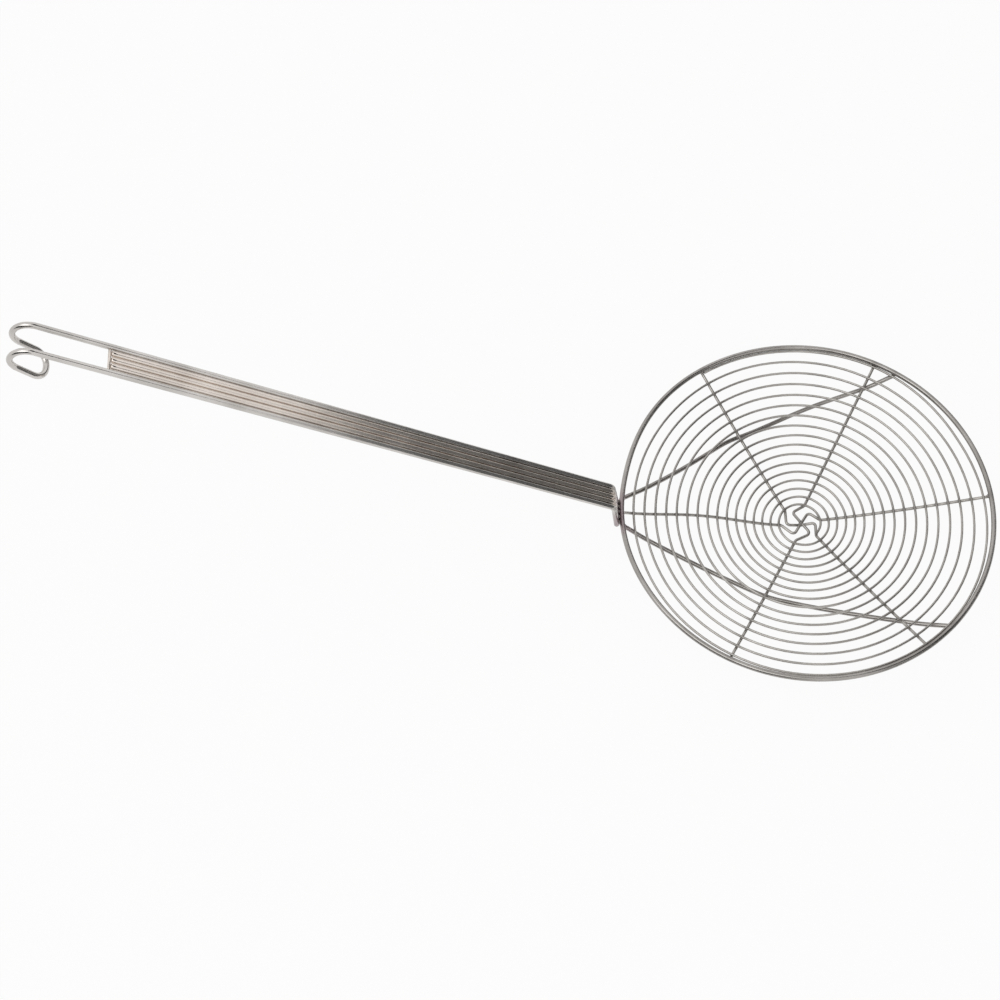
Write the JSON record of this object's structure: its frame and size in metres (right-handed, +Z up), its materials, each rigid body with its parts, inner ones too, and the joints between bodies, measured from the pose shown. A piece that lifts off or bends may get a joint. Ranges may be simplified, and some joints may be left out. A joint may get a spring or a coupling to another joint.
{
  "type": "spider skimmer",
  "caption": "Wire spider skimmer: a shallow bowl of spiral wire in a ring rim, on crossed ribs and a brace, with a long flat wire handle that ends in a hanging hook.",
  "frame": {"origin": "under the middle of the whole object's box, at the height of the lowest point of the bowl's hub", "axes": "+Z up, square to the plane of the rim; +X from the hook towards the bowl; +Y to the left of someone who looks from the handle to the bowl"},
  "size_m": [0.486, 0.2028, 0.2164],
  "materials": {
    "bowl_wire": "bright plated wire",
    "brace_wire": "bright plated wire",
    "handle_wire": "bright plated wire with faint drawing lines"
  },
  "bodies": {
    "root": {"rim_wire": "bowl_wire", "spiral_wire": "bowl_wire", "rib_wire_a": "bowl_wire", "rib_wire_b": "bowl_wire", "rib_wire_c": "bowl_wire", "brace_wire": "brace_wire", "hook_wire": "handle_wire", "handle_wire_left": "handle_wire", "handle_wire_middle": "handle_wire", "handle_wire_right": "handle_wire", "handle_end_bar": "handle_wire"}
  },
  "joints": []
}
